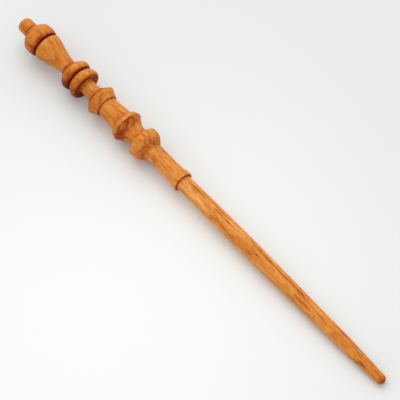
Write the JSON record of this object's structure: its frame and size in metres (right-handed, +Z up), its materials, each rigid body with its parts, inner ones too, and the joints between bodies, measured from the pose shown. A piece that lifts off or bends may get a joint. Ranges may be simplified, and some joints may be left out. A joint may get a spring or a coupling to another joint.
{
  "type": "magic wand",
  "caption": "Turned hardwood magic wand: button and knob pommel, bulb, paired rings, slim neck, cup, knob, plain grip and a long tapering shaft with a blunt round tip.",
  "frame": {"origin": "on the wand's axis, at the middle of the grip where the hand holds it", "axes": "+X along the wand from the butt to the tip; the wand is round about X, and +Z is up"},
  "size_m": [0.357, 0.0226, 0.0227],
  "materials": {
    "handle_wood": "oiled and waxed, satin",
    "ring_wood": "oiled and waxed, satin",
    "grip_wood": "oiled and waxed, satin",
    "shaft_wood": "oiled and waxed, satin"
  },
  "bodies": {
    "root": {"butt_button": "handle_wood", "pommel_knob": "ring_wood", "bulb": "handle_wood", "rear_ring": "ring_wood", "front_ring": "ring_wood", "neck_collar": "handle_wood", "cup_barrel": "handle_wood", "knob_grip": "grip_wood", "shaft": "shaft_wood"}
  },
  "joints": []
}
